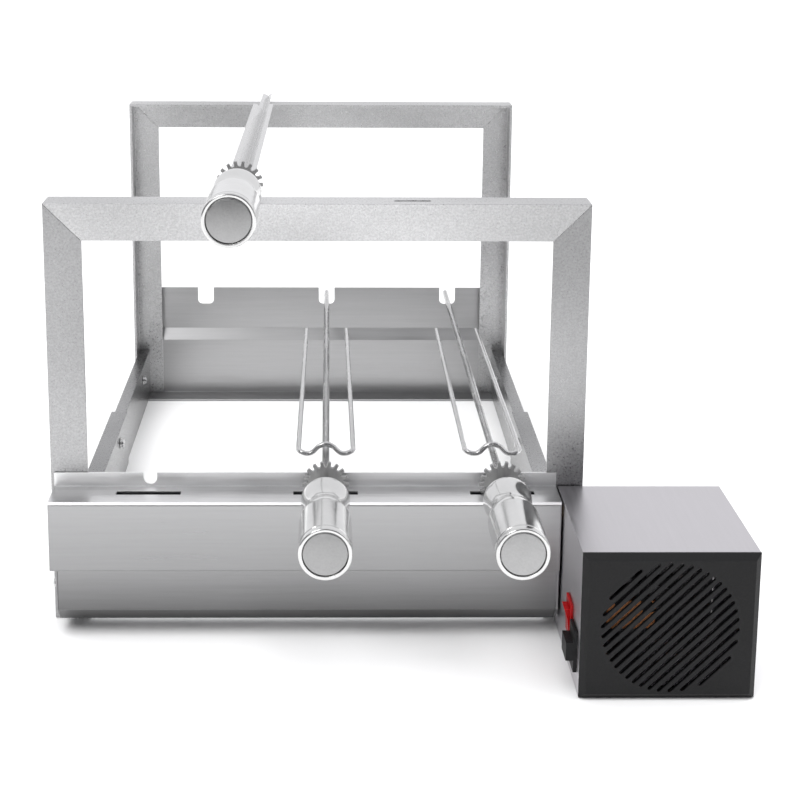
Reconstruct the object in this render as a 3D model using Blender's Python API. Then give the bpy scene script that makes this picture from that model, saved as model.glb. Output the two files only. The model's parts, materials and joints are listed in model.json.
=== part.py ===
"""Table-top rotisserie spit roaster: two upright frames joined by telescoping floor rails, a housing
with a worm shaft that turns two fork skewers, a parked V-blade skewer on the frames, and a motor box.

Metres, +Z up. The dimensions below put X = 0 midway between the frames' legs, Y = 0 at the front
frame's outer face and Z = 0 on the table. At the end everything moves so that the origin lies under
the middle of the overall box."""

from math import atan2, cos, pi, radians, sin

import bmesh
import bpy
from mathutils import Vector

# ---- driving dimensions ----
GAP = 0.0003                     # clearance left between touching pieces
FRAME_W = 0.435                  # both upright frames, outer width
FRAME_TOP = 0.350                # top of both frames
PROFILE = 0.030                  # leg length of the frames' angle section
FRAME_T = 0.0025                 # its thickness
REAR_FACE_Y = 0.627              # outer face of the rear frame
SHEET = 0.0015                   # folded sheet parts

NOTCH_TOP = 0.1271               # notched lip above the housing
DECK_TOP = 0.1156                # top of the slotted deck
HOUSING_FRONT = -0.0385          # front face of the housing
LIP_BASE = 0.1131                # the deck's front lip ends here and the front cover starts
COVER_BASE = 0.0571
COVER_X = (-0.2147, 0.1952)
BODY_X = (-0.2087, 0.1932)
BODY_BASE = 0.0100
BODY_CHAMFER = 0.0130

RAIL_H = 0.056                   # floor rails, height
RAIL_WEB_X = 0.201               # inner face of the front rail section
RAIL_JOINT = (0.260, 0.380)      # overlap of the two rail sections
CLAMP_BOLT_Y = 0.315
CLAMP_BOLT_Z = 0.044
DEPTH_TRAVEL = 0.070             # how far the rear half slides forward

SKEWER_X = 0.0066                # middle skewer
SKEWER_STEP = 0.143              # from one skewer place to the next
GEAR_Y = -0.0175
GEAR_Z = 0.1230
SKEWER_TILT = radians(0.9)       # the rods slope down towards the rear notches
ROD_R = 0.003175
ROD_END = 0.695                  # rod tip, from the gear
GEAR_TEETH = 18
GEAR_PITCH_R = 0.017
GEAR_TIP_R = 0.0188
GEAR_ROOT_R = 0.0146
GEAR_T = 0.004
PIN_REACH = 0.0016               # rod end in front of the gear
HANDLE_END = 0.152               # handle end, from the gear
HANDLE_R = 0.0199
DISC_R = 0.0165

WORM_LEAD = 2 * pi * GEAR_PITCH_R / GEAR_TEETH
WORM_TIP_R = 0.0092
WORM_ROOT_R = 0.0052
WORM_Z = GEAR_Z - GEAR_ROOT_R - WORM_TIP_R - 0.0006
WORM_LENGTH = 0.030
SHAFT_R = 0.004
BUSH_R = 0.007
JOURNAL_R = 0.0046

WHEEL_TEETH = 20                 # wheel inside the gearbox
WHEEL_LEAD = 0.0032
WHEEL_X = 0.244
ROTOR_Z = WORM_Z - 0.0138

PARK_X = 0.069                   # parked skewer places, from the middle skewer
PARK_Y = 0.014
PARK_Z = 0.363
PARK_TILT = radians(0.4)

BOX_X = (0.197, 0.3295)
BOX_Y = (-0.147, -0.002)
BOX_TOP = 0.1155
WALL = 0.0012
COVER_T = 0.006                  # black vent cover, thickness

BEAM_STEP = 0.008                # set-back of the notched upper strip of the rear beam
REAR_BOLT_Y = 0.546
REAR_BOLT_Z = 0.040
BOLT_HOLE_R = 0.0026
BOLT_HEAD_R = 0.0042
BOLT_HEAD_T = 0.0028
WASHER_R = 0.0055
WASHER_T = 0.0008
BOLT_SHANK_R = 0.0022
END_SCREW_Y = -0.026
END_SCREW_Z = 0.0425
ROTOR_SHAFT_R = 0.0020
ROTOR_CORE_R = 0.0120
FAN_Y = (-0.126, -0.118)
CORE_Y = (-0.083, -0.053)        # laminated stator
OVERCUT = 0.010                  # how far a cutter reaches past a face

ORIGIN = (0.056, 0.25383, 0.0)   # middle of the overall box on the table


# ---- materials ----
def material(name, colour, metallic, roughness):
    mat = bpy.data.materials.new(name)
    mat.use_nodes = True
    shader = mat.node_tree.nodes["Principled BSDF"]
    shader.inputs["Base Color"].default_value = (*colour, 1.0)
    shader.inputs["Metallic"].default_value = metallic
    shader.inputs["Roughness"].default_value = roughness
    return mat


def make_materials():
    return {
        "frame_steel": material("frame_steel", (0.56, 0.56, 0.58), 1.0, 0.35),
        "sheet_steel": material("sheet_steel", (0.60, 0.60, 0.61), 1.0, 0.30),
        "box_steel": material("box_steel", (0.62, 0.61, 0.63), 1.0, 0.40),
        "rod_steel": material("rod_steel", (0.66, 0.66, 0.66), 1.0, 0.22),
        "gear_steel": material("gear_steel", (0.45, 0.45, 0.45), 1.0, 0.38),
        "handle_chrome": material("handle_chrome", (0.80, 0.80, 0.80), 1.0, 0.10),
        "disc_satin": material("disc_satin", (0.62, 0.62, 0.62), 1.0, 0.35),
        "black_plastic": material("black_plastic", (0.035, 0.035, 0.038), 0.0, 0.45),
        "red_plastic": material("red_plastic", (0.70, 0.02, 0.02), 0.0, 0.30),
        "brass": material("brass", (0.72, 0.55, 0.28), 1.0, 0.35),
        "copper": material("copper", (0.72, 0.38, 0.20), 1.0, 0.35),
        "core_iron": material("core_iron", (0.22, 0.22, 0.23), 1.0, 0.50),
    }


# ---- modelling helpers ----
def add_object(name, bm, mat, parent=None, location=(0, 0, 0), rotation=(0, 0, 0)):
    bmesh.ops.recalc_face_normals(bm, faces=bm.faces)
    mesh = bpy.data.meshes.new(name)
    bm.to_mesh(mesh)
    bm.free()
    mesh.materials.append(mat)
    obj = bpy.data.objects.new(name, mesh)
    bpy.context.scene.collection.objects.link(obj)
    obj.parent = parent
    obj.location = location
    obj.rotation_euler = rotation
    return obj


def add_pivot(name, location, tilt=0.0):
    """An empty on a joint axis. Its +Y is the axis, tipped down towards the rear by tilt."""
    pivot = bpy.data.objects.new(name, None)
    pivot.empty_display_size = 0.02
    bpy.context.scene.collection.objects.link(pivot)
    pivot.location = location
    pivot.rotation_euler = (-tilt, 0, 0)
    return pivot


def loft(bm, rings):
    """Walls between closed rings of equal length, with a cap on the first and the last."""
    levels = [[bm.verts.new(point) for point in ring] for ring in rings]
    for low, high in zip(levels, levels[1:]):
        for i, vert in enumerate(low):
            j = (i + 1) % len(low)
            bm.faces.new((vert, low[j], high[j], high[i]))
    bm.faces.new(levels[0])
    bm.faces.new(levels[-1])
    return bm


def prism(outline, axis, low, high):
    """A 2-D outline extruded along X, Y or Z. Its two numbers are the other axes, in X, Y, Z order."""
    def place(point, level):
        spot = list(point)
        spot.insert("XYZ".index(axis), level)
        return spot
    rings = [[place(point, level) for point in outline] for level in (low, high)]
    return loft(bmesh.new(), rings)


def block(low, high):
    outline = [(low[0], low[1]), (high[0], low[1]), (high[0], high[1]), (low[0], high[1])]
    return prism(outline, "Z", low[2], high[2])


def circle(centre, radius, segments, start=0.0):
    return [(centre[0] + radius * cos(start + 2 * pi * i / segments),
             centre[1] + radius * sin(start + 2 * pi * i / segments)) for i in range(segments)]


def ring(centre, outer, inner, axis, low, high, segments=24):
    """A tube with flat ends along X, Y or Z."""
    bm = bmesh.new()
    loops = []
    for level in (low, high):
        for radius in (outer, inner):
            spots = []
            for point in circle(centre, radius, segments):
                spot = list(point)
                spot.insert("XYZ".index(axis), level)
                spots.append(bm.verts.new(spot))
            loops.append(spots)
    outer_low, inner_low, outer_high, inner_high = loops
    for first, second in ((outer_low, outer_high), (outer_high, inner_high), (inner_high, inner_low),
                          (inner_low, outer_low)):
        for i in range(segments):
            j = (i + 1) % segments
            bm.faces.new((first[i], first[j], second[j], second[i]))
    return bm


def revolve(profile, segments=24):
    """A closed solid turned about local Y. The profile runs from one end on the axis to the other."""
    bm = bmesh.new()
    rings = []
    for radius, y in profile:
        if radius < 1e-6:
            rings.append([bm.verts.new((0, y, 0))])
        else:
            rings.append([bm.verts.new((x, y, z)) for x, z in circle((0, 0), radius, segments)])
    for low, high in zip(rings, rings[1:]):
        for i in range(segments):
            j = (i + 1) % segments
            if len(low) == 1:
                bm.faces.new((low[0], high[j], high[i]))
            elif len(high) == 1:
                bm.faces.new((low[i], low[j], high[0]))
            else:
                bm.faces.new((low[i], low[j], high[j], high[i]))
    return bm


def sheet_outline(path, thickness):
    """The outline of a folded sheet: the path, then the same path offset to its left, with mitred bends."""
    points = [Vector(point) for point in path]
    normals = []
    for first, second in zip(points, points[1:]):
        along = (second - first).normalized()
        normals.append(Vector((-along.y, along.x)))
    offset = []
    for i, point in enumerate(points):
        before = normals[max(i - 1, 0)]
        after = normals[min(i, len(normals) - 1)]
        middle = (before + after).normalized()
        offset.append(point + middle * (thickness / middle.dot(after)))
    return [tuple(point) for point in points + offset[::-1]]


def cut(obj, name, bm, local=False):
    """Cuts a closed shape out of obj. A local shape is given in the object's own frame."""
    if local:
        place = {"parent": obj.parent, "location": obj.location, "rotation": obj.rotation_euler}
    else:
        place = {}
    cutter = add_object(f"cut_{name}", bm, obj.data.materials[0], **place)
    cutter.hide_render = True
    cutter.display_type = "WIRE"
    modifier = obj.modifiers.new(name, "BOOLEAN")
    modifier.operation = "DIFFERENCE"
    modifier.object = cutter


def several(shapes):
    """Joins bmeshes that don't touch into one, for use as a cutter."""
    joined = bmesh.new()
    for shape in shapes:
        mesh = bpy.data.meshes.new("cutter_part")
        shape.to_mesh(mesh)
        shape.free()
        joined.from_mesh(mesh)
        bpy.data.meshes.remove(mesh)
    return joined


# ---- upright frames ----
def angle_section(face_y, inward):
    """Angle section as (inset from the outer edge, y): a face across and a flange pointing inward."""
    far = face_y + inward * PROFILE
    near = face_y + inward * FRAME_T
    return [(0, face_y), (PROFILE, face_y), (PROFILE, near), (FRAME_T, near), (FRAME_T, far), (0, far)]


def frame_leg(name, side, section, base, mat):
    mitre = GAP * 1.42
    rings = [[(side * (FRAME_W / 2 - inset), y, base) for inset, y in section],
             [(side * (FRAME_W / 2 - inset), y, FRAME_TOP - inset - mitre) for inset, y in section]]
    return add_object(name, loft(bmesh.new(), rings), mat)


def frame_top(name, section, mat):
    rings = [[(side * (FRAME_W / 2 - inset), y, FRAME_TOP - inset) for inset, y in section]
             for side in (-1, 1)]
    return add_object(name, loft(bmesh.new(), rings), mat)


def park_places():
    return [SKEWER_X - PARK_X, SKEWER_X + PARK_X]


def make_frames(mats):
    steel = mats["frame_steel"]
    front = angle_section(0.0, 1)
    rear = angle_section(REAR_FACE_Y, -1)
    for label, section, base in (("front", front, 0.0), ("rear", rear, SHEET + GAP)):
        for side, hand in ((-1, "left"), (1, "right")):
            frame_leg(f"{label}_frame_{hand}_leg", side, section, base, steel)
        top = frame_top(f"{label}_frame_top_bar", section, steel)
        if label == "front":
            slots = [block((x - 0.0145, PARK_Y - 0.003, FRAME_TOP - OVERCUT),
                           (x + 0.0145, PARK_Y + 0.003, FRAME_TOP + OVERCUT)) for x in park_places()]
            cut(top, "park_slots", several(slots))


# ---- floor rails and their bolts ----
def rail_section(name, side, web_x, edge_x, height, span, mat):
    """An angle lying on the table: an upright web with a flange pointing outward at its top."""
    fold = [(edge_x, height - SHEET), (web_x + SHEET, height - SHEET), (web_x + SHEET, 0.0)]
    outline = [(side * x, z) for x, z in sheet_outline(fold, -SHEET)]
    return add_object(name, prism(outline, "Y", *span), mat)


def hex_bolt(name, side, x, y, z, reach, mat):
    """A bolt along X through a web, its head and washer on the inner side, with a nut on the outer side."""
    seat = BOLT_HEAD_T + WASHER_T
    nut = seat + reach
    far = nut + BOLT_HEAD_T
    profile = [(0, 0), (BOLT_HEAD_R, 0), (BOLT_HEAD_R, BOLT_HEAD_T), (WASHER_R, BOLT_HEAD_T),
               (WASHER_R, seat), (BOLT_SHANK_R, seat), (BOLT_SHANK_R, nut), (BOLT_HEAD_R, nut),
               (BOLT_HEAD_R, far), (0, far)]
    return add_object(name, revolve(profile, 12), mat, location=(x - side * seat, y, z),
                      rotation=(0, 0, -side * pi / 2))


def bore_x(obj, name, y, z, radius, low, high, segments=16):
    cut(obj, name, prism(circle((y, z), radius, segments), "X", low, high))


def make_rails(mats):
    steel = mats["frame_steel"]
    rear_end = REAR_FACE_Y - FRAME_T - GAP
    leg_inside = FRAME_W / 2 - FRAME_T - GAP
    for side, hand in ((-1, "left"), (1, "right")):
        web = sorted((side * (RAIL_WEB_X - 0.004), side * (RAIL_WEB_X + 0.008)))
        front = rail_section(f"{hand}_rail_front", side, RAIL_WEB_X, FRAME_W / 2, RAIL_H,
                             (FRAME_T + GAP, RAIL_JOINT[1]), steel)
        corner = sorted((side * leg_inside, side * (FRAME_W / 2 + OVERCUT)))
        cut(front, "leg_clearance", block((corner[0], -OVERCUT, -OVERCUT),
                                          (corner[1], PROFILE + GAP, RAIL_H + OVERCUT)))
        bore_x(front, "bolt_hole", CLAMP_BOLT_Y, CLAMP_BOLT_Z, BOLT_HOLE_R, *web)
        rear = rail_section(f"{hand}_rail_rear", side, RAIL_WEB_X + SHEET + GAP, leg_inside,
                            RAIL_H - SHEET - GAP, (RAIL_JOINT[0], rear_end), steel)
        foot = sorted((side * (RAIL_WEB_X - 0.005), side * (FRAME_W / 2 + OVERCUT)))
        cut(rear, "beam_clearance", block((foot[0], REAR_FACE_Y - PROFILE - 0.002, -OVERCUT),
                                          (foot[1], REAR_FACE_Y + OVERCUT, SHEET + GAP)))
        slot_y = (CLAMP_BOLT_Y - 0.004, CLAMP_BOLT_Y + DEPTH_TRAVEL + 0.004)
        slot_z = (CLAMP_BOLT_Z - 0.0028, CLAMP_BOLT_Z + 0.0028)
        cut(rear, "travel_slot", block((web[0], slot_y[0], slot_z[0]), (web[1], slot_y[1], slot_z[1])))
        bore_x(rear, "rear_bolt_hole", REAR_BOLT_Y, REAR_BOLT_Z, BOLT_HOLE_R, *web)
        hex_bolt(f"{hand}_clamp_bolt", side, side * (RAIL_WEB_X - GAP), CLAMP_BOLT_Y, CLAMP_BOLT_Z,
                 2 * SHEET + 3 * GAP, mats["rod_steel"])
        hex_bolt(f"{hand}_rear_bolt", side, side * (RAIL_WEB_X + SHEET), REAR_BOLT_Y, REAR_BOLT_Z,
                 SHEET + 2 * GAP, mats["rod_steel"])


# ---- rear beam ----
def u_notch(x, half, bottom, top):
    """A notch with a half-round or square bottom with rounded corners, as an XZ outline."""
    corner = min(half, 0.005)
    left = [(x - half + corner - corner * sin(a), bottom + corner - corner * cos(a))
            for a in (pi / 2, pi / 3, pi / 6, 0)]
    right = [(2 * x - px, pz) for px, pz in left[::-1]]
    return [(x - half, top)] + left + right + [(x + half, top)]


def skewer_places():
    return [SKEWER_X + step * SKEWER_STEP for step in (-1, 0, 1)]


def make_rear_beam(mats):
    panel = REAR_FACE_Y + GAP
    path = [(REAR_FACE_Y - PROFILE, 0.0), (panel + SHEET, 0.0), (panel + SHEET, 0.0651),
            (panel + SHEET + BEAM_STEP, 0.0779), (panel + SHEET + BEAM_STEP, 0.1275)]
    outline = sheet_outline(path, SHEET)
    half = FRAME_W / 2 - FRAME_T - GAP
    beam = add_object("rear_notch_beam", prism(outline, "X", -half, half), mats["sheet_steel"])
    notches = [prism(u_notch(x, 0.00925, 0.1077, 0.14), "Y", panel - OVERCUT, panel + 3 * OVERCUT)
               for x in skewer_places()]
    cut(beam, "notches", several(notches))


# ---- drive housing ----
def make_deck(mats):
    """One folded sheet: notched upright lip at the rear, slotted deck, short lip over the front cover."""
    under = DECK_TOP - SHEET
    path = [(HOUSING_FRONT + SHEET, LIP_BASE), (HOUSING_FRONT + SHEET, under), (-GAP, under),
            (-GAP, NOTCH_TOP)]
    plate = add_object("notch_plate", prism(sheet_outline(path, SHEET), "X", *COVER_X), mats["sheet_steel"])
    notch_base = GEAR_Z + GEAR_Y * sin(SKEWER_TILT) - JOURNAL_R - 2 * GAP
    notches = [prism(u_notch(x, JOURNAL_R + 3 * GAP, notch_base, 0.14), "Y", -0.0115, OVERCUT)
               for x in skewer_places()]
    cut(plate, "journal_notches", several(notches))
    slots = [block((x - 0.026, GEAR_Y - 0.004, under - OVERCUT),
                   (x + 0.026, GEAR_Y + 0.004, DECK_TOP + 0.0004)) for x in skewer_places()]
    cut(plate, "gear_slots", several(slots))


def make_housing(mats):
    steel = mats["sheet_steel"]
    make_deck(mats)
    top = LIP_BASE - SHEET - GAP
    inside = HOUSING_FRONT + SHEET
    cover = [(inside, COVER_BASE), (inside, top), (inside + 0.006, top)]
    add_object("housing_cover", prism(sheet_outline(cover, SHEET), "X", *COVER_X), steel)

    wall = inside + GAP
    back = -0.0020
    body_top = top - GAP
    front = [(wall, body_top), (wall, BODY_BASE + BODY_CHAMFER), (wall + BODY_CHAMFER, BODY_BASE),
             (back, BODY_BASE)]
    body = sheet_outline(front + [(back, DECK_TOP - SHEET - GAP)], SHEET)
    add_object("housing_body", prism(body, "X", *BODY_X), steel)
    outline = front + [(back, body_top)]
    for hand, low, high in (("left", BODY_X[0] - SHEET - GAP, BODY_X[0] - GAP),
                            ("right", BODY_X[1] + GAP, BODY_X[1] + SHEET + GAP)):
        cap = add_object(f"housing_{hand}_end", prism(outline, "X", low, high), steel)
        bore_x(cap, "bush_hole", GEAR_Y, WORM_Z, BUSH_R + GAP, low - 0.01, high + 0.01, 24)
        bush = ring((GEAR_Y, WORM_Z), BUSH_R, SHAFT_R + GAP, "X", low - 0.0012, high + 0.0012)
        add_object(f"{hand}_shaft_bush", bush, mats["brass"])
    make_end_screw(mats)


def make_end_screw(mats):
    """A pan-head screw in the housing's left end."""
    head_r, head_t, shank_r, length = 0.0040, 0.0025, 0.0019, 0.010
    face = BODY_X[0] - SHEET - GAP
    bore_x(bpy.data.objects["housing_left_end"], "screw_hole", END_SCREW_Y, END_SCREW_Z, shank_r + GAP,
           face - OVERCUT, face + OVERCUT, 12)
    screw = revolve([(0, 0), (head_r - 0.0005, 0), (head_r, 0.001), (head_r, head_t), (shank_r, head_t),
                     (shank_r, length), (0, length)], 12)
    add_object("end_screw", screw, mats["rod_steel"],
               location=(face - head_t - GAP, END_SCREW_Y, END_SCREW_Z), rotation=(0, 0, -pi / 2))


# ---- worm drive ----
def worm(lead, root, tip, bore, length, segments=16):
    """A right-hand single-start worm about local X with a bore. A ridge crosses the top (+Z) at x = 0."""
    marks = ((0.28, root), (0.41, tip), (0.59, tip), (0.72, root))
    turns = int(length / lead) + 3
    start = -(turns // 2) * lead - 0.5 * lead
    stations = [(start + (turn + part) * lead, radius) for turn in range(turns + 1) for part, radius in marks]
    per_turn = len(marks)
    bm = bmesh.new()

    def vertex(x, radius, angle):
        if abs(x) >= length / 2:
            x = length / 2 if x > 0 else -length / 2
            radius = root
        return bm.verts.new((x, -radius * sin(angle), radius * cos(angle)))

    columns = []
    for j in range(segments):
        angle = 2 * pi * j / segments
        columns.append([vertex(x + lead * j / segments, radius, angle) for x, radius in stations])
    for j in range(segments):
        shift = per_turn if j == segments - 1 else 0
        following = columns[(j + 1) % segments]
        for i in range(len(stations) - 1 - shift):
            bm.faces.new((columns[j][i], columns[j][i + 1], following[i + 1 + shift], following[i + shift]))
    bmesh.ops.remove_doubles(bm, verts=bm.verts, dist=1e-7)
    bmesh.ops.dissolve_degenerate(bm, edges=bm.edges, dist=1e-7)
    loose = [vert for vert in bm.verts if not vert.link_faces]
    bmesh.ops.delete(bm, geom=loose, context="VERTS")
    bores = []
    for end in (-1, 1):
        rim = [vert for vert in bm.verts if abs(vert.co.x - end * length / 2) < 1e-7]
        rim.sort(key=lambda vert: atan2(vert.co.y, vert.co.z))
        hole = [bm.verts.new((end * length / 2, vert.co.y * bore / root, vert.co.z * bore / root))
                for vert in rim]
        for i in range(len(rim)):
            j = (i + 1) % len(rim)
            bm.faces.new((rim[i], rim[j], hole[j], hole[i]))
        bores.append(hole)
    for i in range(segments):
        j = (i + 1) % segments
        bm.faces.new((bores[0][i], bores[0][j], bores[1][j], bores[1][i]))
    return bm


def gear_outline(teeth, root, gullets):
    """Teeth with round gullets, one of them straight down (-Z). gullets holds (radius, half width) pairs."""
    points = []
    for tooth in range(teeth):
        middle = -pi / 2 + 2 * pi * tooth / teeth
        half = [(radius, width / radius) for radius, width in gullets]
        for radius, offset in half:
            points.append((radius * cos(middle - offset), radius * sin(middle - offset)))
        points.append((root * cos(middle), root * sin(middle)))
        for radius, offset in half[::-1]:
            points.append((radius * cos(middle + offset), radius * sin(middle + offset)))
    return points


def gear(name, teeth, root, gullets, bore, thickness, mat, **place):
    """A toothed disc about local Y with a bore."""
    body = prism(gear_outline(teeth, root, gullets), "Y", -thickness / 2, thickness / 2)
    disc = add_object(name, body, mat, **place)
    cut(disc, f"{name}_bore", prism(circle((0, 0), bore, 16), "Y", -thickness, thickness), local=True)
    return disc


SKEWER_GULLETS = ((GEAR_TIP_R, 0.00205), (0.0168, 0.00165), (0.0152, 0.00120))
WHEEL_GULLETS = ((0.0105, 0.00116), (0.0098, 0.00100), (0.0092, 0.00085))


def make_skewer_gear(name, pivot, mats):
    return gear(name, GEAR_TEETH, GEAR_ROOT_R, SKEWER_GULLETS, ROD_R + GAP, GEAR_T, mats["gear_steel"],
                parent=pivot)


def make_worm_drive(mats):
    pivot = add_pivot("worm_axis", (0, GEAR_Y, WORM_Z))
    shaft_turn = (0, 0, -pi / 2)
    start = BODY_X[0] - 0.0045
    end = 0.2105
    shaft = revolve([(0, start), (SHAFT_R, start), (SHAFT_R, end), (0, end)], 20)
    add_object("worm_shaft", shaft, mats["rod_steel"], pivot, rotation=shaft_turn)
    for label, x in zip(("left", "middle", "right"), skewer_places()):
        body = worm(WORM_LEAD, WORM_ROOT_R, WORM_TIP_R, SHAFT_R + GAP, WORM_LENGTH)
        add_object(f"{label}_worm", body, mats["gear_steel"], pivot, location=(x, 0, 0))
    sleeve = ring((0, 0), 0.0078, SHAFT_R + GAP, "X", 0.1995, 0.2235)
    add_object("shaft_coupling", sleeve, mats["brass"], pivot)


# ---- skewers ----
def handle_profile():
    """Turned handle: neck, bulge, waist and a straight grip with a recess for the end disc."""
    neck_r, bulge_r, waist_r = 0.0062, 0.0193, 0.0160
    neck_y, bulge_y, waist_y, grip_y = -0.0205, -0.0390, -0.0640, -0.0900
    end_y = -HANDLE_END
    profile = [(0, -0.004), (neck_r, -0.004), (neck_r, neck_y)]

    def ease(first, second, from_y, to_y, steps):
        for i in range(1, steps + 1):
            part = i / steps
            blend = (1 - cos(pi * part)) / 2
            profile.append((first + (second - first) * blend, from_y + (to_y - from_y) * part))

    ease(neck_r, bulge_r, neck_y, bulge_y, 5)
    ease(bulge_r, waist_r, bulge_y, waist_y, 5)
    ease(waist_r, HANDLE_R, waist_y, grip_y, 5)
    profile.extend([(HANDLE_R, end_y + 0.001), (HANDLE_R - 0.001, end_y), (DISC_R + GAP, end_y),
                    (DISC_R + GAP, end_y + 0.004), (0, end_y + 0.004)])
    return profile


def make_handle(label, pivot, mats):
    add_object(f"{label}_handle", revolve(handle_profile(), 24), mats["handle_chrome"], pivot)
    back = -HANDLE_END + 0.004 - GAP
    front = back - 0.0033
    disc = revolve([(0, back), (DISC_R, back), (DISC_R, front + 0.0005), (DISC_R - 0.0005, front),
                    (0, front)], 24)
    add_object(f"{label}_end_disc", disc, mats["disc_satin"], pivot)


def fork_path():
    """Two straight tines joined by a wavy base that crosses over the rod."""
    base_y, tip_y, half = 0.0845, 0.5105, 0.0235
    crest, sag = 0.0064, 0.0022
    wave = []
    steps = 12
    for i in range(steps + 1):
        part = i / steps * 2 - 1
        lift = crest * (1 + cos(pi * min(abs(part) / 0.62, 1))) / 2
        dip = sag * sin(pi * max(abs(part) - 0.30, 0) / 0.70)
        wave.append((half * part, base_y, lift - dip))
    left = [(-half + 0.0015, tip_y, 0), (-half, base_y + 0.006, 0)]
    right = [(-x, y, z) for x, y, z in left[::-1]]
    return left + wave + right


def make_fork(name, pivot, mats):
    curve = bpy.data.curves.new(name, "CURVE")
    curve.dimensions = "3D"
    curve.bevel_depth = 0.0022
    curve.bevel_resolution = 1
    curve.use_fill_caps = True
    path = fork_path()
    spline = curve.splines.new("POLY")
    spline.points.add(len(path) - 1)
    for point, spot in zip(spline.points, path):
        point.co = (*spot, 1)
    curve.materials.append(mats["rod_steel"])
    fork = bpy.data.objects.new(name, curve)
    bpy.context.scene.collection.objects.link(fork)
    fork.parent = pivot
    return fork


def make_fork_skewer(label, x, mats):
    pivot = add_pivot(f"{label}_skewer_axis", (x, GEAR_Y, GEAR_Z), SKEWER_TILT)
    front = -GEAR_T / 2 - PIN_REACH
    rod = revolve([(0, front), (ROD_R, front), (ROD_R, 0.003), (JOURNAL_R, 0.003), (JOURNAL_R, 0.030),
                   (ROD_R, 0.032), (ROD_R, ROD_END - 0.004), (0.001, ROD_END), (0, ROD_END)], 16)
    add_object(f"{label}_rod", rod, mats["rod_steel"], pivot)
    make_skewer_gear(f"{label}_gear", pivot, mats)
    make_fork(f"{label}_fork", pivot, mats)
    make_handle(label, pivot, mats)


def make_blade(pivot, mats):
    """Folded V blade: wide to the shoulders, then a narrow pointed tip."""
    rise, low, t = 0.010, -0.0080, SHEET
    half, narrow = 0.0110, 0.0050
    start, shoulder, neck, tip = GEAR_T / 2 + GAP, 0.507, 0.509, 0.650

    def section(width, y, scale=1.0):
        height = rise * width / half
        top = [(-width, low + height), (0, low), (width, low + height)]
        upper = [(x * 0.90, z + t) for x, z in top[::-1]]
        return [(x * scale, y, z) for x, z in top + upper]

    rings = [section(half, start), section(half, shoulder), section(narrow, neck),
             section(narrow, tip - 0.018), section(0.0012, tip)]
    add_object("blade_skewer_blade", loft(bmesh.new(), rings), mats["rod_steel"], pivot)


def make_blade_skewer(mats):
    pivot = add_pivot("blade_skewer_axis", (park_places()[0], PARK_Y, PARK_Z), PARK_TILT)
    make_blade(pivot, mats)
    make_skewer_gear("blade_skewer_gear", pivot, mats)
    front = -GEAR_T / 2 - PIN_REACH
    pin = revolve([(0, front), (ROD_R, front), (ROD_R, GEAR_T / 2), (0, GEAR_T / 2)], 16)
    add_object("blade_skewer_pin", pin, mats["rod_steel"], pivot)
    make_handle("blade_skewer", pivot, mats)


# ---- motor box ----
def make_motor_box(mats):
    left, right = BOX_X
    front = BOX_Y[0] + COVER_T + GAP
    outline = sheet_outline([(left, 0.0), (left, BOX_TOP), (right, BOX_TOP), (right, 0.0)], -WALL)
    shell = add_object("motor_box_shell", prism(outline, "Y", front, BOX_Y[1]), mats["box_steel"])
    low, high = left - 0.01, left + 0.006
    bore_x(shell, "shaft_hole", GEAR_Y, WORM_Z, 0.0100, low, high, 24)
    cut(shell, "switch_hole", block((low, -0.1043, 0.0307), (high, -0.0837, 0.0553)))
    cut(shell, "inlet_hole", block((low, -0.1313, 0.0177), (high, -0.1087, 0.0443)))

    base_x = (left + WALL + GAP, right - WALL - GAP)
    rear = BOX_Y[1] - GAP
    tray = sheet_outline([(front + 0.012, 0.0), (rear, 0.0), (rear, BOX_TOP - WALL - GAP)], WALL)
    add_object("motor_box_base", prism(tray, "X", *base_x), mats["box_steel"])

    make_vent_cover(mats)


def vent_slots(centre, radius, pitch, width, depth_low, depth_high):
    """Rounded slots at 45 degrees, clipped to a circle."""
    along = Vector((1, 1)).normalized()
    across = Vector((-1, 1)).normalized()
    shapes = []
    for i in range(-8, 9):
        offset = i * pitch
        reach = (radius ** 2 - offset ** 2) ** 0.5 - width / 2
        if reach < 0.004:
            continue
        outline = []
        for end in (1, -1):
            middle = Vector(centre) + across * offset + along * reach * end
            for k in range(5):
                turn = -pi / 2 + pi * k / 4
                outline.append(tuple(middle + along * end * cos(turn) * width / 2
                                     + across * end * sin(turn) * width / 2))
        shapes.append(prism(outline, "Y", depth_low, depth_high))
    return several(shapes)


def make_vent_cover(mats):
    left, right = BOX_X
    front, back = BOX_Y[0], BOX_Y[0] + COVER_T
    top = BOX_TOP
    edge = 0.0045

    def outline(inset, y):
        return [(left + inset, y, inset), (right - inset, y, inset), (right - inset, y, top - inset),
                (left + inset, y, top - inset)]

    hollow = 0.0045
    rings = [outline(edge, front), outline(0, front + edge), outline(0, back), outline(WALL + GAP, back),
             outline(WALL + GAP, back + 0.008), outline(hollow, back + 0.008), outline(hollow, front + 0.003)]
    cover = add_object("vent_cover", loft(bmesh.new(), rings), mats["black_plastic"])
    centre = ((left + right) / 2, BOX_TOP / 2)
    cut(cover, "vent_slots", vent_slots(centre, 0.0515, 0.0061, 0.0029, front - 0.01, front + 0.01))


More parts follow.
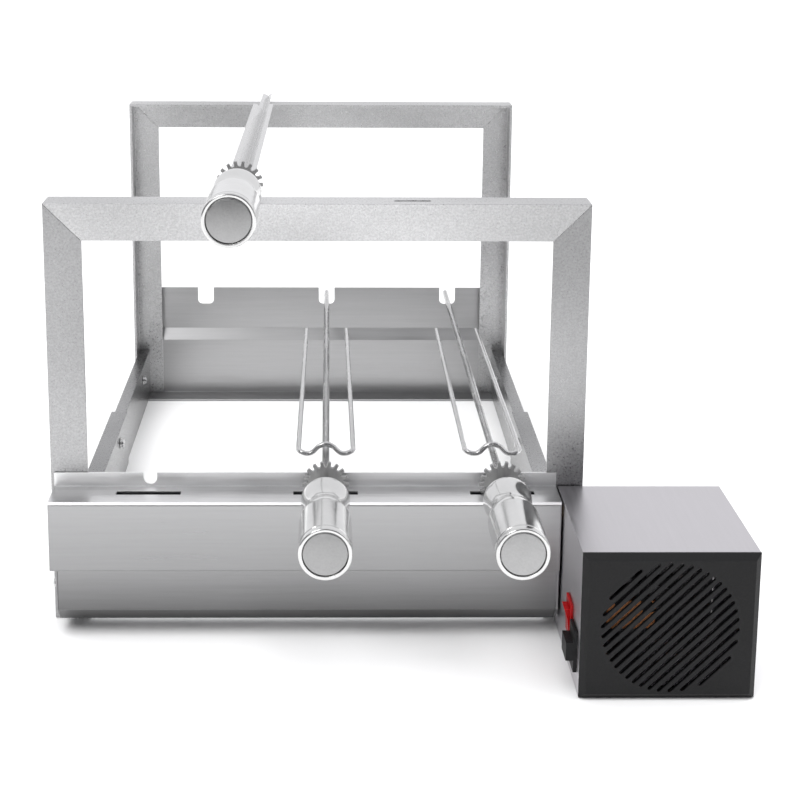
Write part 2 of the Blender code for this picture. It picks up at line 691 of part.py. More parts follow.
def make_controls(mats):
    wall = BOX_X[0]
    y_low, y_high, z_low, z_high = -0.104, -0.084, 0.031, 0.055
    bezel = block((wall - 0.0022, y_low - 0.0025, z_low - 0.0025),
                  (wall - GAP, y_high + 0.0025, z_high + 0.0025))
    frame = add_object("rocker_bezel", bezel, mats["red_plastic"])
    inner = block((wall - 2 * OVERCUT, y_low + 0.0022, z_low + 0.0015),
                  (wall + 2 * OVERCUT, y_high - 0.0022, z_high - 0.0015))
    cut(frame, "rocker_opening", inner)

    middle_y, middle_z = (y_low + y_high) / 2, (z_low + z_high) / 2
    half = (z_high - z_low) / 2 - 0.0028
    tilt = 0.0017
    outline = [(0.0, -half), (-0.0045 + tilt, -half), (-0.0035, 0.0), (-0.0045 - tilt, half), (0.0, half),
               (0.0060, half * 0.45), (0.0060, -half * 0.45)]
    width = (y_high - y_low) / 2 - 0.0026
    pivot = add_pivot("rocker_axis", (wall, middle_y, middle_z))
    add_object("rocker_button", prism(outline, "Y", -width, width), mats["red_plastic"], pivot)

    body = block((wall + WALL + 0.0075, y_low + 0.001, z_low + 0.001),
                 (wall + 0.024, y_high - 0.001, z_high - 0.001))
    add_object("rocker_contacts", body, mats["black_plastic"])

    inlet = [(wall - GAP, 0.0145), (wall - 0.0030, 0.0145), (wall - 0.0030, 0.0240), (wall - 0.0087, 0.0240),
             (wall - 0.0087, 0.0385), (wall - 0.0030, 0.0385), (wall - 0.0030, 0.0480), (wall - GAP, 0.0480),
             (wall - GAP, 0.0440), (wall + 0.0180, 0.0440), (wall + 0.0180, 0.0180), (wall - GAP, 0.0180)]
    add_object("power_inlet", prism(inlet, "Y", -0.131, -0.109), mats["black_plastic"])


def make_gear_motor(mats):
    x_low, x_high = 0.2275, 0.2600
    y_low, y_high = -0.0335, BOX_Y[1] - WALL - 2 * GAP
    z_low, z_high = 0.0680, 0.1120
    wall = 0.002
    case = add_object("gearbox_case", block((x_low, y_low, z_low), (x_high - wall, y_high, z_high)),
                      mats["black_plastic"])
    cut(case, "case_hollow", block((x_low + wall, y_low + wall, z_low + wall),
                                   (x_high + 0.01, y_high - wall, z_high - wall)))
    bore_x(case, "output_hole", GEAR_Y, WORM_Z, SHAFT_R + 2 * GAP, x_low - 0.01, x_low + 0.01, 20)
    cut(case, "rotor_hole", prism(circle((WHEEL_X, ROTOR_Z), ROTOR_SHAFT_R + 0.0008, 16), "Y",
                                   y_low - OVERCUT, y_low + 0.005))
    add_object("gearbox_lid", block((x_high - wall + GAP, y_low, z_low), (x_high, y_high, z_high)),
               mats["black_plastic"])

    pivot = bpy.data.objects["worm_axis"]
    turn = (0, 0, -pi / 2)
    start, end = 0.2110, x_high - wall - GAP
    shaft = revolve([(0, start), (SHAFT_R, start), (SHAFT_R, end), (0, end)], 20)
    add_object("output_shaft", shaft, mats["rod_steel"], pivot, rotation=turn)
    gear("gearbox_wheel", WHEEL_TEETH, 0.0087, WHEEL_GULLETS, SHAFT_R + GAP, 0.003, mats["brass"],
         parent=pivot, location=(WHEEL_X, 0, 0), rotation=turn)

    rotor = add_pivot("rotor_axis", (WHEEL_X, 0, ROTOR_Z))
    start, end = -0.130, y_high - wall - GAP
    shaft = revolve([(0, start), (ROTOR_SHAFT_R, start), (ROTOR_SHAFT_R, end), (0, end)], 16)
    add_object("rotor_shaft", shaft, mats["rod_steel"], rotor)
    thread = worm(WHEEL_LEAD, 0.0029, 0.0046, ROTOR_SHAFT_R + GAP, 0.018)
    add_object("rotor_worm", thread, mats["rod_steel"], rotor, location=(0, GEAR_Y, 0),
               rotation=(0, 0, pi / 2))
    core = ring((0, 0), ROTOR_CORE_R, ROTOR_SHAFT_R + GAP, "Y", CORE_Y[0] - 0.001, CORE_Y[1] + 0.001, 24)
    add_object("rotor_core", core, mats["core_iron"], rotor)
    make_fan(rotor, mats)
    make_stator(mats)


def make_fan(rotor, mats):
    """A hub with five flat blades, turned about local Y."""
    blades, hub, tip, half = 5, 0.006, 0.026, 0.0016
    points = []
    for i in range(blades):
        middle = 2 * pi * i / blades
        root_off, tip_off = half / hub, half / tip * 3
        points.append((hub * cos(middle - root_off), hub * sin(middle - root_off)))
        points.append((tip * cos(middle - tip_off), tip * sin(middle - tip_off)))
        points.append((tip * cos(middle + tip_off), tip * sin(middle + tip_off)))
        points.append((hub * cos(middle + root_off), hub * sin(middle + root_off)))
    fan = add_object("cooling_fan", prism(points, "Y", *FAN_Y), mats["black_plastic"], rotor)
    hole = prism(circle((0, 0), ROTOR_SHAFT_R + GAP, 16), "Y", FAN_Y[0] - OVERCUT, FAN_Y[1] + OVERCUT)
    cut(fan, "fan_bore", hole, local=True)


def make_stator(mats):
    half, limb = 0.022, 0.008
    bottom, shoulder, top = WALL + GAP, 0.0560, 0.1105
    outline = [(WHEEL_X - limb, bottom), (WHEEL_X + limb, bottom), (WHEEL_X + limb, shoulder),
               (WHEEL_X + half, shoulder), (WHEEL_X + half, top), (WHEEL_X - half, top),
               (WHEEL_X - half, shoulder), (WHEEL_X - limb, shoulder)]
    stator = add_object("stator", prism(outline, "Y", *CORE_Y), mats["core_iron"])
    cut(stator, "rotor_bore", prism(circle((WHEEL_X, ROTOR_Z), ROTOR_CORE_R + 0.0008, 24), "Y",
                                    CORE_Y[0] - OVERCUT, CORE_Y[1] + OVERCUT))
    coil = add_object("stator_coil", block((WHEEL_X - 0.019, CORE_Y[0] - 0.009, 0.0320),
                                           (WHEEL_X + 0.019, CORE_Y[1] + 0.009, 0.0550)), mats["copper"])
    cut(coil, "limb_hole", block((WHEEL_X - limb - GAP, CORE_Y[0] - GAP, 0.02),
                                 (WHEEL_X + limb + GAP, CORE_Y[1] + GAP, 0.07)))


def centre_on_footprint():
    """Moves everything so that the origin lies under the middle of the overall box."""
    for obj in bpy.data.objects:
        if obj.parent is None:
            obj.location -= Vector(ORIGIN)


def main():
    for obj in list(bpy.data.objects):
        bpy.data.objects.remove(obj)
    mats = make_materials()
    make_frames(mats)
    make_rails(mats)
    make_rear_beam(mats)
    make_housing(mats)
    make_worm_drive(mats)
    middle, right = skewer_places()[1:]
    make_fork_skewer("middle_skewer", middle, mats)
    make_fork_skewer("right_skewer", right, mats)
    make_blade_skewer(mats)
    make_motor_box(mats)
    make_controls(mats)
    make_gear_motor(mats)
    centre_on_footprint()
    bpy.context.view_layer.update()


main()
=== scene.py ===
"""Looks of the rotisserie spit roaster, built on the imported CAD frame."""
import json
from math import cos, pi, radians, sin

import bmesh
import bpy
from mathutils import Matrix, Vector


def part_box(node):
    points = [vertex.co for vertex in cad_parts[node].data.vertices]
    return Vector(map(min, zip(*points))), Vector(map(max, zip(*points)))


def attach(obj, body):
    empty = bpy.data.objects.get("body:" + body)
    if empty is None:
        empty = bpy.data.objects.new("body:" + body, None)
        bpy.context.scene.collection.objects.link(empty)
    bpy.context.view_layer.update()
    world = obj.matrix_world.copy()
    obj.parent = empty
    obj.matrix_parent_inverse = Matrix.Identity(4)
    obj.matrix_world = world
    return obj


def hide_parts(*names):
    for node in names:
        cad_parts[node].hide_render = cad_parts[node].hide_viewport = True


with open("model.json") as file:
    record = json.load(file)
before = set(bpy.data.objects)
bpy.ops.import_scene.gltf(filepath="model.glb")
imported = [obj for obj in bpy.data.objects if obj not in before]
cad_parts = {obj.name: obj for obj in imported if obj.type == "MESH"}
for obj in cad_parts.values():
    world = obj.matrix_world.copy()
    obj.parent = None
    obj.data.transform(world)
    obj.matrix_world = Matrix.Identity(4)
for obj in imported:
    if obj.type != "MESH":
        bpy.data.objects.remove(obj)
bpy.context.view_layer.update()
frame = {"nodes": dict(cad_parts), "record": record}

NODES = frame["nodes"]

# Camera and lights are placed from the middle of the front frame's foot. This is the frame's origin
# as seen from there: the middle of the overall box, on the table.
ORIGIN = Vector((0.056, 0.25383, 0.0))

HANDLE_END = 0.152               # handle end, from the gear
HANDLE_R = 0.0199
NECK_R = 0.0062
BULGE_R = 0.0193
WAIST_R = 0.0160
DISC_R = 0.0165
ROD_R = 0.003175
JOURNAL_R = 0.0046
ROD_LENGTH = 0.695
ROD_TILT = radians(0.9)          # fork skewers slope down to the rear
BLADE_TILT = radians(0.4)
FORK_WIRE_R = 0.0022
BLADE_SHEET = 0.0012
EDGE_SOFTENING = 0.0006          # how far the shading rounds an edge


# ---- node material helpers ----
class Look:
    """Builds one procedural Principled material."""

    def __init__(self, name, colour, metallic, roughness):
        self.mat = bpy.data.materials.new(name)
        self.mat.use_nodes = True
        self.tree = self.mat.node_tree
        self.shader = self.tree.nodes["Principled BSDF"]
        self.shader.inputs["Base Color"].default_value = (*colour, 1.0)
        self.shader.inputs["Metallic"].default_value = metallic
        self.shader.inputs["Roughness"].default_value = roughness
        self.colour = colour
        self.coords = self.tree.nodes.new("ShaderNodeTexCoord").outputs["Object"]

    def link(self, source, target):
        self.tree.links.new(source, target)

    def mapping(self, scale):
        node = self.tree.nodes.new("ShaderNodeMapping")
        node.inputs["Scale"].default_value = scale
        self.link(self.coords, node.inputs["Vector"])
        return node.outputs["Vector"]

    def noise(self, scale, stretch=(1, 1, 1), detail=3.0, roughness=0.55):
        node = self.tree.nodes.new("ShaderNodeTexNoise")
        node.inputs["Scale"].default_value = scale
        node.inputs["Detail"].default_value = detail
        node.inputs["Roughness"].default_value = roughness
        self.link(self.mapping(stretch), node.inputs["Vector"])
        return node.outputs["Fac"]

    def spread(self, value, low, high, start=0.3, end=0.7):
        node = self.tree.nodes.new("ShaderNodeMapRange")
        node.inputs["From Min"].default_value = start
        node.inputs["From Max"].default_value = end
        node.inputs["To Min"].default_value = low
        node.inputs["To Max"].default_value = high
        self.link(value, node.inputs["Value"])
        return node.outputs["Result"]

    def maths(self, operation, first, second):
        node = self.tree.nodes.new("ShaderNodeMath")
        node.operation = operation
        for socket, value in zip(node.inputs, (first, second)):
            if isinstance(value, (int, float)):
                socket.default_value = value
            else:
                self.link(value, socket)
        return node.outputs[0]

    def mix(self, factor, first, second):
        node = self.tree.nodes.new("ShaderNodeMix")
        node.data_type = "RGBA"
        self.link(factor, node.inputs["Factor"])
        for socket, value in ((node.inputs["A"], first), (node.inputs["B"], second)):
            if isinstance(value, tuple):
                socket.default_value = (*value, 1.0)
            else:
                self.link(value, socket)
        return node.outputs["Result"]

    def shade(self, factor, colour):
        """Colour times factor, which may pass 1."""
        node = self.mix(factor, (0, 0, 0), colour).node
        node.clamp_factor = False
        return node.outputs["Result"]

    def painted_shade_by_height(self, low_z, high_z, low, high):
        """Runs from low at one height above the table to high at another: painted shade, darker towards the
        bottom and lighter towards the top.
        """
        parts = self.tree.nodes.new("ShaderNodeSeparateXYZ")
        self.link(self.coords, parts.inputs["Vector"])
        return self.spread(parts.outputs["Z"], low, high, low_z, high_z)

    def edges(self, radius=0.0007):
        """0 on flat faces, 1 along each edge, where a rounded normal leaves the true one; the mask of a
        painted highlight.
        """
        rounded_normal = self.tree.nodes.new("ShaderNodeBevel")
        rounded_normal.samples = 4
        rounded_normal.inputs["Radius"].default_value = radius
        facing = self.tree.nodes.new("ShaderNodeVectorMath")
        facing.operation = "DOT_PRODUCT"
        self.link(rounded_normal.outputs["Normal"], facing.inputs[0])
        self.link(self.tree.nodes.new("ShaderNodeNewGeometry").outputs["Normal"], facing.inputs[1])
        return self.spread(facing.outputs["Value"], 1.0, 0.0, 0.80, 0.98)

    def bump(self, height, strength, distance, edge=EDGE_SOFTENING):
        soft_edge = self.tree.nodes.new("ShaderNodeBevel")
        soft_edge.samples = 4
        soft_edge.inputs["Radius"].default_value = edge
        node = self.tree.nodes.new("ShaderNodeBump")
        self.link(soft_edge.outputs["Normal"], node.inputs["Normal"])
        node.inputs["Strength"].default_value = strength
        node.inputs["Distance"].default_value = distance
        self.link(height, node.inputs["Height"])
        self.link(node.outputs["Normal"], self.shader.inputs["Normal"])

    def paint(self, colour):
        self.link(colour, self.shader.inputs["Base Color"])

    def rough(self, value):
        self.link(value, self.shader.inputs["Roughness"])


def tone(colour, factor):
    """Colour scaled by factor and kept at or under 1."""
    return tuple(min(1.0, part * factor) for part in colour)


def grained(look, value, contrast, start):
    """Two tones of the look's colour, picked by a noise value."""
    factor = look.spread(value, 0.0, 1.0, start, 1 - start)
    return look.mix(factor, tone(look.colour, 1 - contrast), tone(look.colour, 1 + contrast))


def brushed(name, colour, roughness, grain, scale, contrast=0.12, bump=0.10,
            edge=EDGE_SOFTENING, height=None):
    """Brushed or drawn metal: fine streaks along one axis over slow cloudy changes of tone."""
    look = Look(name, colour, 1.0, roughness)
    streaks = look.noise(scale, grain, 4.0, 0.65)
    clouds = look.noise(9.0, (1, 1, 1), 2.0)
    both = look.maths("ADD", look.maths("MULTIPLY", streaks, 0.6), look.maths("MULTIPLY", clouds, 0.4))
    base = grained(look, both, contrast, 0.35)
    # Painted shade: the colour darkens towards the bottom and lightens towards the top, by height.
    if height:
        base = look.shade(look.painted_shade_by_height(*height), base)
    # Painted highlight: a lighter tone of the colour along each edge.
    look.paint(look.mix(look.edges(), base, tone(colour, 1.18)))
    look.rough(look.spread(both, roughness - 0.06, roughness + 0.08, 0.35, 0.65))
    look.bump(streaks, bump, 0.0004, edge)
    return look.mat


def sparkle(name, colour, roughness, contrast=0.15):
    """Satin stainless with a fine mottled grain over slow, broad changes of tone."""
    look = Look(name, colour, 1.0, roughness)
    grain = look.noise(560.0, (1, 1, 1), 2.0, 0.6)
    broad = look.spread(look.noise(5.0, (1, 1, 1), 1.0), 0.84, 1.20, 0.35, 0.65)
    base = grained(look, grain, contrast, 0.36)
    blotches = look.spread(look.noise(150.0, (1, 1, 1), 2.0), 0.985, 1.015, 0.42, 0.58)
    shade = look.shade(blotches, look.shade(broad, base))
    # Painted highlight: a lighter tone of the colour along each edge.
    look.paint(look.mix(look.edges(), shade, tone(colour, 1.25)))
    look.rough(look.spread(grain, roughness - 0.07, roughness + 0.09, 0.36, 0.64))
    look.bump(grain, 0.30, 0.0003)
    return look.mat


def polished(name, colour, roughness):
    look = Look(name, colour, 1.0, roughness)
    haze = look.noise(30.0, (1, 1, 1), 3.0)
    turning = look.noise(180.0, (0.2, 6.0, 0.2), 2.0)
    look.paint(look.mix(look.spread(haze, 0.0, 1.0), tone(colour, 0.95), tone(colour, 1.05)))
    look.rough(look.spread(turning, roughness * 0.7, roughness * 1.6))
    look.bump(turning, 0.04, 0.0002)
    return look.mat


def plastic(name, colour, roughness, grain_scale=900.0, bump=0.25):
    """Moulded plastic with a spark-eroded grain and a painted highlight along each edge."""
    look = Look(name, colour, 0.0, roughness)
    grain = look.noise(grain_scale, (1, 1, 1), 3.0, 0.6)
    clouds = look.noise(14.0, (1, 1, 1), 2.0)
    base = look.mix(look.spread(clouds, 0.0, 1.0), tone(colour, 0.90), tone(colour, 1.12))
    # Painted highlight: a much lighter tone of the colour along each edge.
    look.paint(look.mix(look.edges(), base, tone(colour, 2.2)))
    look.rough(look.spread(grain, roughness - 0.06, roughness + 0.10))
    look.bump(grain, bump, 0.0003)
    look.shader.inputs["Specular IOR Level"].default_value = 0.30
    return look.mat


ALONG_X = (0.04, 1.0, 1.0)       # stretches noise into streaks that run along X
LOOKS = {
    "frame_steel": sparkle("satin_stainless", (0.53, 0.53, 0.533), 0.34),
    # The cover sheet carries painted shade, darker low down and lighter high up.
    "sheet_steel": brushed("brushed_sheet", (0.345, 0.345, 0.348), 0.32, ALONG_X, 240.0, 0.06, 0.05,
                           0.0018, (0.055, 0.112, 0.88, 1.12)),
    "box_steel": brushed("box_sheet", (0.60, 0.585, 0.608), 0.38, (1.0, 0.05, 1.0), 300.0, 0.05, 0.05),
    "rod_steel": brushed("drawn_rod", (0.60, 0.60, 0.60), 0.24, (1.0, 0.05, 1.0), 420.0, 0.14, 0.10),
    "gear_steel": brushed("cut_plate", (0.34, 0.34, 0.34), 0.38, (1.0, 1.0, 0.2), 300.0, 0.20, 0.15),
    "handle_chrome": polished("polished_handle", (0.66, 0.66, 0.655), 0.13),
    "disc_satin": sparkle("satin_disc", (0.37, 0.37, 0.37), 0.36, 0.06),
    "black_plastic": plastic("black_moulding", (0.0065, 0.0065, 0.007), 0.55),
    "red_plastic": plastic("red_moulding", (0.42, 0.006, 0.008), 0.30, 700.0, 0.08),
    "brass": brushed("turned_brass", (0.72, 0.55, 0.28), 0.30, (1.0, 0.1, 1.0), 300.0, 0.10, 0.08),
    "copper": brushed("copper_winding", (0.50, 0.22, 0.10), 0.35, (0.1, 0.1, 3.0), 500.0, 0.25, 0.5),
    "core_iron": brushed("laminated_core", (0.13, 0.13, 0.135), 0.50, (0.05, 3.0, 0.05), 500.0, 0.30, 0.5),
}
# Lit and shaded copies of the sheet and frame steels: the deck and rear beam are lighter, as painted light;
# the body, rails and legs are darker, as painted shade.
PAINTED_LIGHT_LOOKS = {
    "deck": brushed("deck_sheet_painted_light", (0.86, 0.86, 0.863), 0.34, ALONG_X, 240.0, 0.06, 0.05),
    # Painted shade on the body: darker towards the bottom edge and chamfer, by height.
    "body": brushed("body_sheet_painted_shade", (0.28, 0.28, 0.282), 0.34, ALONG_X, 240.0, 0.08, 0.05, 0.0006,
                    (0.014, 0.060, 0.42, 1.12)),
    "rail": sparkle("rail_stainless_painted_shade", (0.30, 0.30, 0.303), 0.30),
    "leg": sparkle("leg_stainless_painted_shade", (0.355, 0.355, 0.358), 0.34),
    "rear": brushed("rear_sheet_painted_light", (0.47, 0.47, 0.473), 0.34, ALONG_X, 240.0, 0.07, 0.05),
}
PAINTED_LIGHT_NODES = {
    "notch_plate": "deck", "housing_body": "body", "rear_notch_beam": "rear",
    "left_rail_front": "rail", "left_rail_rear": "rail",
    "right_rail_front": "rail", "right_rail_rear": "rail",
    "front_frame_left_leg": "leg", "front_frame_right_leg": "leg",
}


def dress_cad_nodes():
    for part in frame["record"]["subparts"]:
        mesh = NODES[part["node"]].data
        mesh.materials.clear()
        # Parts in this table take a copy of their steel with painted light and shade in its tone.
        own = PAINTED_LIGHT_NODES.get(part["node"])
        mesh.materials.append(PAINTED_LIGHT_LOOKS[own] if own else LOOKS[part["material_slot"]])
        for face in mesh.polygons:
            face.material_index = 0


# ---- pieces that replace plain CAD solids ----
def add_piece(name, mesh, look, body, *replaced):
    mesh.materials.append(look)
    piece = bpy.data.objects.new(name, mesh)
    bpy.context.scene.collection.objects.link(piece)
    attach(piece, body)
    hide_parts(*replaced)
    return piece


def turned(name, profile, segments, place):
    """A closed solid turned about +Y from (radius, y) points, smooth shaded, moved by place."""
    bm = bmesh.new()
    rings = []
    for radius, y in profile:
        if radius == 0:
            rings.append([bm.verts.new((0, y, 0))])
        else:
            angles = [2 * pi * i / segments for i in range(segments)]
            rings.append([bm.verts.new((radius * cos(angle), y, radius * sin(angle))) for angle in angles])
    for low, high in zip(rings, rings[1:]):
        for i in range(segments):
            j = (i + 1) % segments
            if len(low) == 1:
                bm.faces.new((low[0], high[j], high[i]))
            elif len(high) == 1:
                bm.faces.new((low[i], low[j], high[0]))
            else:
                bm.faces.new((low[i], low[j], high[j], high[i]))
    bmesh.ops.recalc_face_normals(bm, faces=bm.faces)
    bm.transform(place)
    mesh = bpy.data.meshes.new(name)
    bm.to_mesh(mesh)
    bm.free()
    mesh.shade_smooth()
    mesh.set_sharp_from_angle(angle=radians(38))
    return mesh


def eased(profile, first, second, from_y, to_y, steps):
    """Adds a stretch that swells or narrows smoothly from one radius to the next."""
    for i in range(1, steps + 1):
        part = i / steps
        profile.append((first + (second - first) * (1 - cos(pi * part)) / 2, from_y + (to_y - from_y) * part))


def rounded(profile, centre, radius, start, end, steps):
    """Adds an arc in the (radius, y) plane."""
    for i in range(steps + 1):
        angle = start + (end - start) * i / steps
        profile.append((centre[0] + radius * cos(angle), centre[1] + radius * sin(angle)))


def handle_profile():
    """Neck, bulge, waist, straight grip with a fine groove, and a rim round the end disc."""
    profile = [(0, -0.004), (NECK_R - 0.0004, -0.004), (NECK_R, -0.0044), (NECK_R, -0.0205)]
    eased(profile, NECK_R, BULGE_R, -0.0205, -0.039, 20)
    eased(profile, BULGE_R, WAIST_R, -0.039, -0.064, 24)
    eased(profile, WAIST_R, HANDLE_R, -0.064, -0.090, 24)
    profile.extend([(HANDLE_R, -0.1436), (HANDLE_R - 0.0006, -0.1442), (HANDLE_R - 0.0006, -0.1450),
                    (HANDLE_R, -0.1456)])
    rim = 0.0014
    rounded(profile, (HANDLE_R - rim, -HANDLE_END + rim), rim, 0, -pi / 2, 6)
    profile.extend([(DISC_R + 0.0006, -HANDLE_END + 0.0002), (DISC_R + 0.0003, -HANDLE_END + 0.0010),
                    (DISC_R + 0.0003, -HANDLE_END + 0.004), (0, -HANDLE_END + 0.004)])
    return profile


def disc_profile():
    back = -HANDLE_END + 0.0037
    front = -HANDLE_END + 0.0006
    round_r = 0.0008
    profile = [(0, back), (DISC_R, back), (DISC_R, front + round_r)]
    rounded(profile, (DISC_R - round_r, front + round_r), round_r, 0, -pi / 2, 4)
    profile.append((0, front - 0.0003))
    return profile


def rod_profile():
    """Round rod with a thicker journal just behind the gear and a short point."""
    return [(0, -0.0036), (ROD_R, -0.0036), (ROD_R, 0.0028), (JOURNAL_R - 0.0006, 0.0028),
            (JOURNAL_R, 0.0034), (JOURNAL_R, 0.0296), (ROD_R, 0.0320), (ROD_R, ROD_LENGTH - 0.004),
            (0.0010, ROD_LENGTH), (0, ROD_LENGTH)]


def skewer_place(label):
    """Matrix from a skewer's own frame (gear at the origin, rod along +Y) to the row frame."""
    low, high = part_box(f"{label}_gear")
    tilt = BLADE_TILT if label == "blade_skewer" else ROD_TILT
    return Matrix.Translation((low + high) / 2) @ Matrix.Rotation(-tilt, 4, "X")


def make_handles():
    for label in ("middle_skewer", "right_skewer", "blade_skewer"):
        place = skewer_place(label)
        handle = turned(f"{label}_turned_handle", handle_profile(), 96, place)
        add_piece(handle.name, handle, LOOKS["handle_chrome"], label, f"{label}_handle")
        disc = turned(f"{label}_satin_disc", disc_profile(), 96, place)
        add_piece(disc.name, disc, LOOKS["disc_satin"], label, f"{label}_end_disc")


def fork_route():
    """Tines and wavy base of the wire fork, with rounded corners, in the skewer's frame."""
    base_y, tip_y, half = 0.0845, 0.5105, 0.0235
    crest, sag, bend = 0.0064, 0.0022, 0.0050
    right = []
    for i in range(25):
        part = i / 24
        lift = crest * (1 + cos(pi * min(part / 0.62, 1))) / 2
        dip = sag * sin(pi * max(part - 0.30, 0) / 0.70)
        x = half * part
        y = base_y
        if x > half - bend:
            across = (x - half + bend) / bend
            y = base_y + bend * (1 - (1 - across ** 2) ** 0.5)
        right.append((x, y, lift - dip))
    right.extend([(half, base_y + bend + 0.004, 0), (half - 0.0015, tip_y - 0.002, 0)])
    left = [(-x, y, z) for x, y, z in right[:0:-1]]
    return left + right


def make_forks():
    for label in ("middle_skewer", "right_skewer"):
        place = skewer_place(label)
        rod = turned(f"{label}_round_rod", rod_profile(), 40, place)
        add_piece(rod.name, rod, LOOKS["rod_steel"], label, f"{label}_rod")
        curve = bpy.data.curves.new(f"{label}_wire_fork", "CURVE")
        curve.dimensions = "3D"
        curve.bevel_depth = FORK_WIRE_R
        curve.bevel_resolution = 5
        curve.use_fill_caps = True
        route = fork_route()
        spline = curve.splines.new("POLY")
        spline.points.add(len(route) - 1)
        spline.use_smooth = True
        for point, spot in zip(spline.points, route):
            point.co = (*(place @ Vector(spot)), 1)
        curve.materials.append(LOOKS["rod_steel"])
        fork = bpy.data.objects.new(curve.name, curve)
        bpy.context.scene.collection.objects.link(fork)
        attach(fork, label)
        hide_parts(f"{label}_fork")


def make_blade():
    """Folded skewer blade: a V with flat lips as far as the shoulders, then a narrow pointed tip."""
    start, shoulder, tip = 0.0024, 0.507, 0.650
    floor_z, lip_rise = -0.0079, 0.0006

    def section(y, inner, outer, lip_z):
        under = [(-outer, lip_z + lip_rise), (-inner, lip_z), (0, floor_z), (inner, lip_z),
                 (outer, lip_z + lip_rise)]
        over = [(x, z + BLADE_SHEET) for x, z in under[::-1]]
        return [(x, y, z) for x, z in under + over]

    rings = [section(start, 0.0068, 0.0109, 0.0002), section(shoulder, 0.0068, 0.0109, 0.0002),
             section(shoulder + 0.001, 0.0050, 0.0054, -0.0032),
             section(tip - 0.016, 0.0046, 0.0050, -0.0034), section(tip, 0.0004, 0.0008, -0.0074)]
    bm = bmesh.new()
    levels = [[bm.verts.new(point) for point in ring] for ring in rings]
    for low, high in zip(levels, levels[1:]):
        for i in range(len(low)):
            j = (i + 1) % len(low)
            bm.faces.new((low[i], low[j], high[j], high[i]))
    bm.faces.new(levels[0])
    bm.faces.new(levels[-1])
    bmesh.ops.recalc_face_normals(bm, faces=bm.faces)
    bm.transform(skewer_place("blade_skewer"))
    mesh = bpy.data.meshes.new("folded_blade")
    bm.to_mesh(mesh)
    bm.free()
    piece = add_piece("folded_blade", mesh, LOOKS["rod_steel"], "blade_skewer", "blade_skewer_blade")
    soften = piece.modifiers.new("edge", "BEVEL")
    soften.width = 0.00025
    soften.segments = 2
    soften.limit_method = "ANGLE"


# ---- camera, light and floor ----
def make_camera():
    data = bpy.data.cameras.new("camera")
    data.sensor_width = 36.0
    data.lens = 76.11
    data.shift_x = 0.06
    data.shift_y = -0.20
    data.clip_start = 0.05
    camera = bpy.data.objects.new("camera", data)
    bpy.context.scene.collection.objects.link(camera)
    camera.location = Vector((0.0082, -1.3128, 0.6016)) - ORIGIN
    pitch, yaw, roll = radians(12.064), radians(0.828), radians(0.286)
    aim = Matrix.Rotation(-yaw, 4, "Z") @ Matrix.Rotation(pi / 2 - pitch, 4, "X")
    camera.rotation_euler = (aim @ Matrix.Rotation(roll, 4, "Z")).to_euler()
    bpy.context.scene.camera = camera


def area_light(name, location, target, size, power):
    data = bpy.data.lights.new(name, "AREA")
    data.shape = "RECTANGLE"
    data.size, data.size_y = size
    data.energy = power
    light = bpy.data.objects.new(name, data)
    bpy.context.scene.collection.objects.link(light)
    light.location = Vector(location) - ORIGIN
    light.rotation_euler = (Vector(target) - Vector(location)).to_track_quat("-Z", "Y").to_euler()


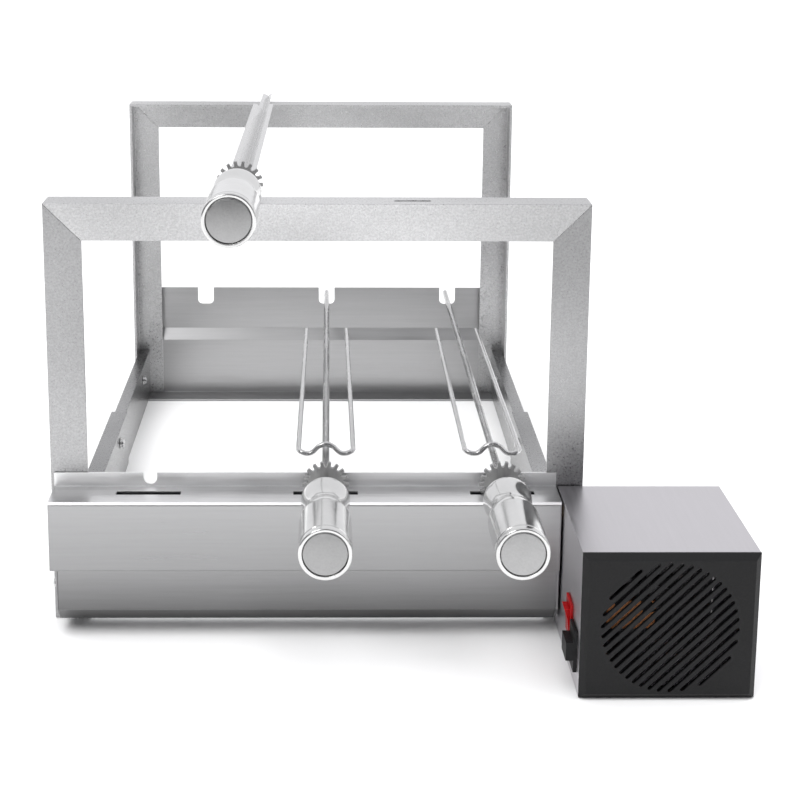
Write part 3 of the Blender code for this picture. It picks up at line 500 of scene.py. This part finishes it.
def make_studio():
    """White backdrop to the camera. Reflections meet a room dark in front, bright behind and above."""
    world = bpy.data.worlds.new("studio")
    world.use_nodes = True
    tree = world.node_tree
    backdrop = tree.nodes["Background"]
    backdrop.inputs["Color"].default_value = (1, 1, 1, 1)
    backdrop.inputs["Strength"].default_value = 1.0
    room = tree.nodes.new("ShaderNodeBackground")
    direction = tree.nodes.new("ShaderNodeTexCoord").outputs["Generated"]
    aim = tree.nodes.new("ShaderNodeVectorMath")
    aim.operation = "DOT_PRODUCT"
    aim.inputs[1].default_value = (0.10, 0.72, 0.69)
    ramp = tree.nodes.new("ShaderNodeValToRGB")
    stops = ramp.color_ramp.elements
    stops[0].position, stops[0].color = 0.20, (0.05, 0.05, 0.055, 1)
    stops[1].position, stops[1].color = 0.80, (1.0, 1.0, 1.02, 1)
    middle = stops.new(0.45)
    middle.color = (0.22, 0.22, 0.23, 1)
    shift = tree.nodes.new("ShaderNodeMapRange")
    shift.inputs["From Min"].default_value = -1.0
    tree.links.new(direction, aim.inputs[0])
    tree.links.new(aim.outputs["Value"], shift.inputs["Value"])
    tree.links.new(shift.outputs["Result"], ramp.inputs["Fac"])
    tree.links.new(ramp.outputs["Color"], room.inputs["Color"])
    room.inputs["Strength"].default_value = 1.0
    pick = tree.nodes.new("ShaderNodeMixShader")
    tree.links.new(tree.nodes.new("ShaderNodeLightPath").outputs["Is Camera Ray"], pick.inputs["Fac"])
    tree.links.new(room.outputs["Background"], pick.inputs[1])
    tree.links.new(backdrop.outputs["Background"], pick.inputs[2])
    tree.links.new(pick.outputs["Shader"], tree.nodes["World Output"].inputs["Surface"])
    bpy.context.scene.world = world
    centre = (0.05, 0.2, 0.15)
    area_light("key", (-1.2, -1.6, 2.2), centre, (1.4, 1.0), 22)
    area_light("fill", (1.9, -0.9, 1.1), centre, (0.8, 1.6), 5)
    overhead = bpy.data.lights.new("overhead", "SUN")
    overhead.energy = 2.3
    overhead.angle = radians(70)
    light = bpy.data.objects.new("overhead", overhead)
    light.rotation_euler = (radians(14), radians(-10), 0)
    light.visible_glossy = False
    bpy.context.scene.collection.objects.link(light)
    bpy.context.scene.view_settings.view_transform = "Standard"


def make_floor():
    mesh = bpy.data.meshes.new("floor")
    reach = 12.0
    mesh.from_pydata([(-reach, -reach, -0.0008), (reach, -reach, -0.0008), (reach, reach, -0.0008),
                      (-reach, reach, -0.0008)], [], [(0, 1, 2, 3)])
    look = Look("pale_floor", (0.93, 0.93, 0.93), 0.0, 0.7)
    look.rough(look.spread(look.noise(20.0), 0.65, 0.8))
    mesh.materials.append(look.mat)
    floor = bpy.data.objects.new("floor", mesh)
    bpy.context.scene.collection.objects.link(floor)


make_camera()
make_studio()
make_floor()
dress_cad_nodes()
make_handles()
make_forks()
make_blade()
